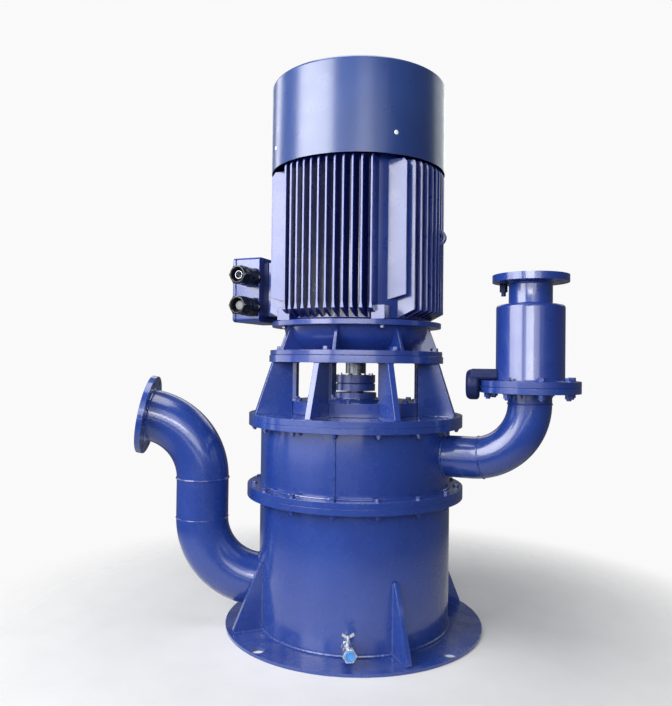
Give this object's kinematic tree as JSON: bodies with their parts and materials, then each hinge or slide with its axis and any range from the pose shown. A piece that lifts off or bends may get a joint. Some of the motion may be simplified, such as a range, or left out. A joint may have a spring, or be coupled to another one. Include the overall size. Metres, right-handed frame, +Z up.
{
  "type": "vertical self-priming pump",
  "caption": "Vertical pump set: round base tank, ribbed lantern, finned motor on top, bent suction pipe on one side, discharge pipe with check valve on the other.",
  "frame": {"origin": "centre of the base plate's underside", "axes": "+Z up along the shaft, +X towards the discharge pipe, -X towards the motor's terminal box"},
  "size_m": [1.5592, 0.95, 1.975],
  "materials": {
    "blue_enamel": "glossy royal blue enamel",
    "bright_steel": "bright turned steel",
    "black_plastic": "black moulded plastic",
    "cast_iron": "painted casting",
    "blue_cap": "blue moulded plug"
  },
  "bodies": {
    "pump": {"base_plate": "blue_enamel", "base_gusset_1": "blue_enamel", "base_gusset_2": "blue_enamel", "base_gusset_3": "blue_enamel", "base_gusset_4": "blue_enamel", "lower_barrel": "blue_enamel", "lower_barrel_flange": "blue_enamel", "upper_barrel_foot_flange": "blue_enamel", "upper_barrel": "blue_enamel", "upper_barrel_top_flange": "blue_enamel", "lantern_base_plate": "blue_enamel", "lantern_rib_1": "blue_enamel", "lantern_rib_2": "blue_enamel", "lantern_rib_3": "blue_enamel", "lantern_rib_4": "blue_enamel", "lantern_rib_5": "blue_enamel", "lantern_rib_6": "blue_enamel", "lantern_rib_7": "blue_enamel", "lantern_rib_8": "blue_enamel", "lantern_top_ring": "blue_enamel", "bearing_housing": "blue_enamel", "motor_end_shield": "blue_enamel", "motor_frame": "blue_enamel", "fan_cowl": "blue_enamel", "terminal_box": "blue_enamel", "terminal_box_lid": "blue_enamel", "cable_gland_upper": "black_plastic", "cable_gland_lower": "black_plastic", "lifting_eye_right": "blue_enamel", "lifting_eye_left": "blue_enamel", "suction_lower_elbow": "blue_enamel", "suction_riser": "blue_enamel", "suction_upper_elbow": "blue_enamel", "suction_flange": "blue_enamel", "discharge_elbow": "blue_enamel", "discharge_elbow_flange": "blue_enamel", "check_valve_body": "blue_enamel", "discharge_outlet": "blue_enamel", "drain_valve_body": "bright_steel", "drain_valve_plug": "blue_cap"},
    "rotor": {"coupling_lower_hub": "cast_iron", "coupling_upper_hub": "cast_iron", "motor_shaft": "bright_steel", "cooling_fan": "black_plastic"},
    "drain_handle": {"drain_valve_handle": "bright_steel"}
  },
  "joints": [
    {"name": "shaft_spin", "type": "hinge", "parent": "pump", "child": "rotor", "pos_m": [0, 0, 0.881], "axis": [0, 0, 1], "continuous": true},
    {"name": "drain_turn", "type": "hinge", "parent": "pump", "child": "drain_handle", "pos_m": [0.13785, -0.38082, 0.106], "axis": [0, 0, 1], "range_deg": [0, 90]}
  ]
}
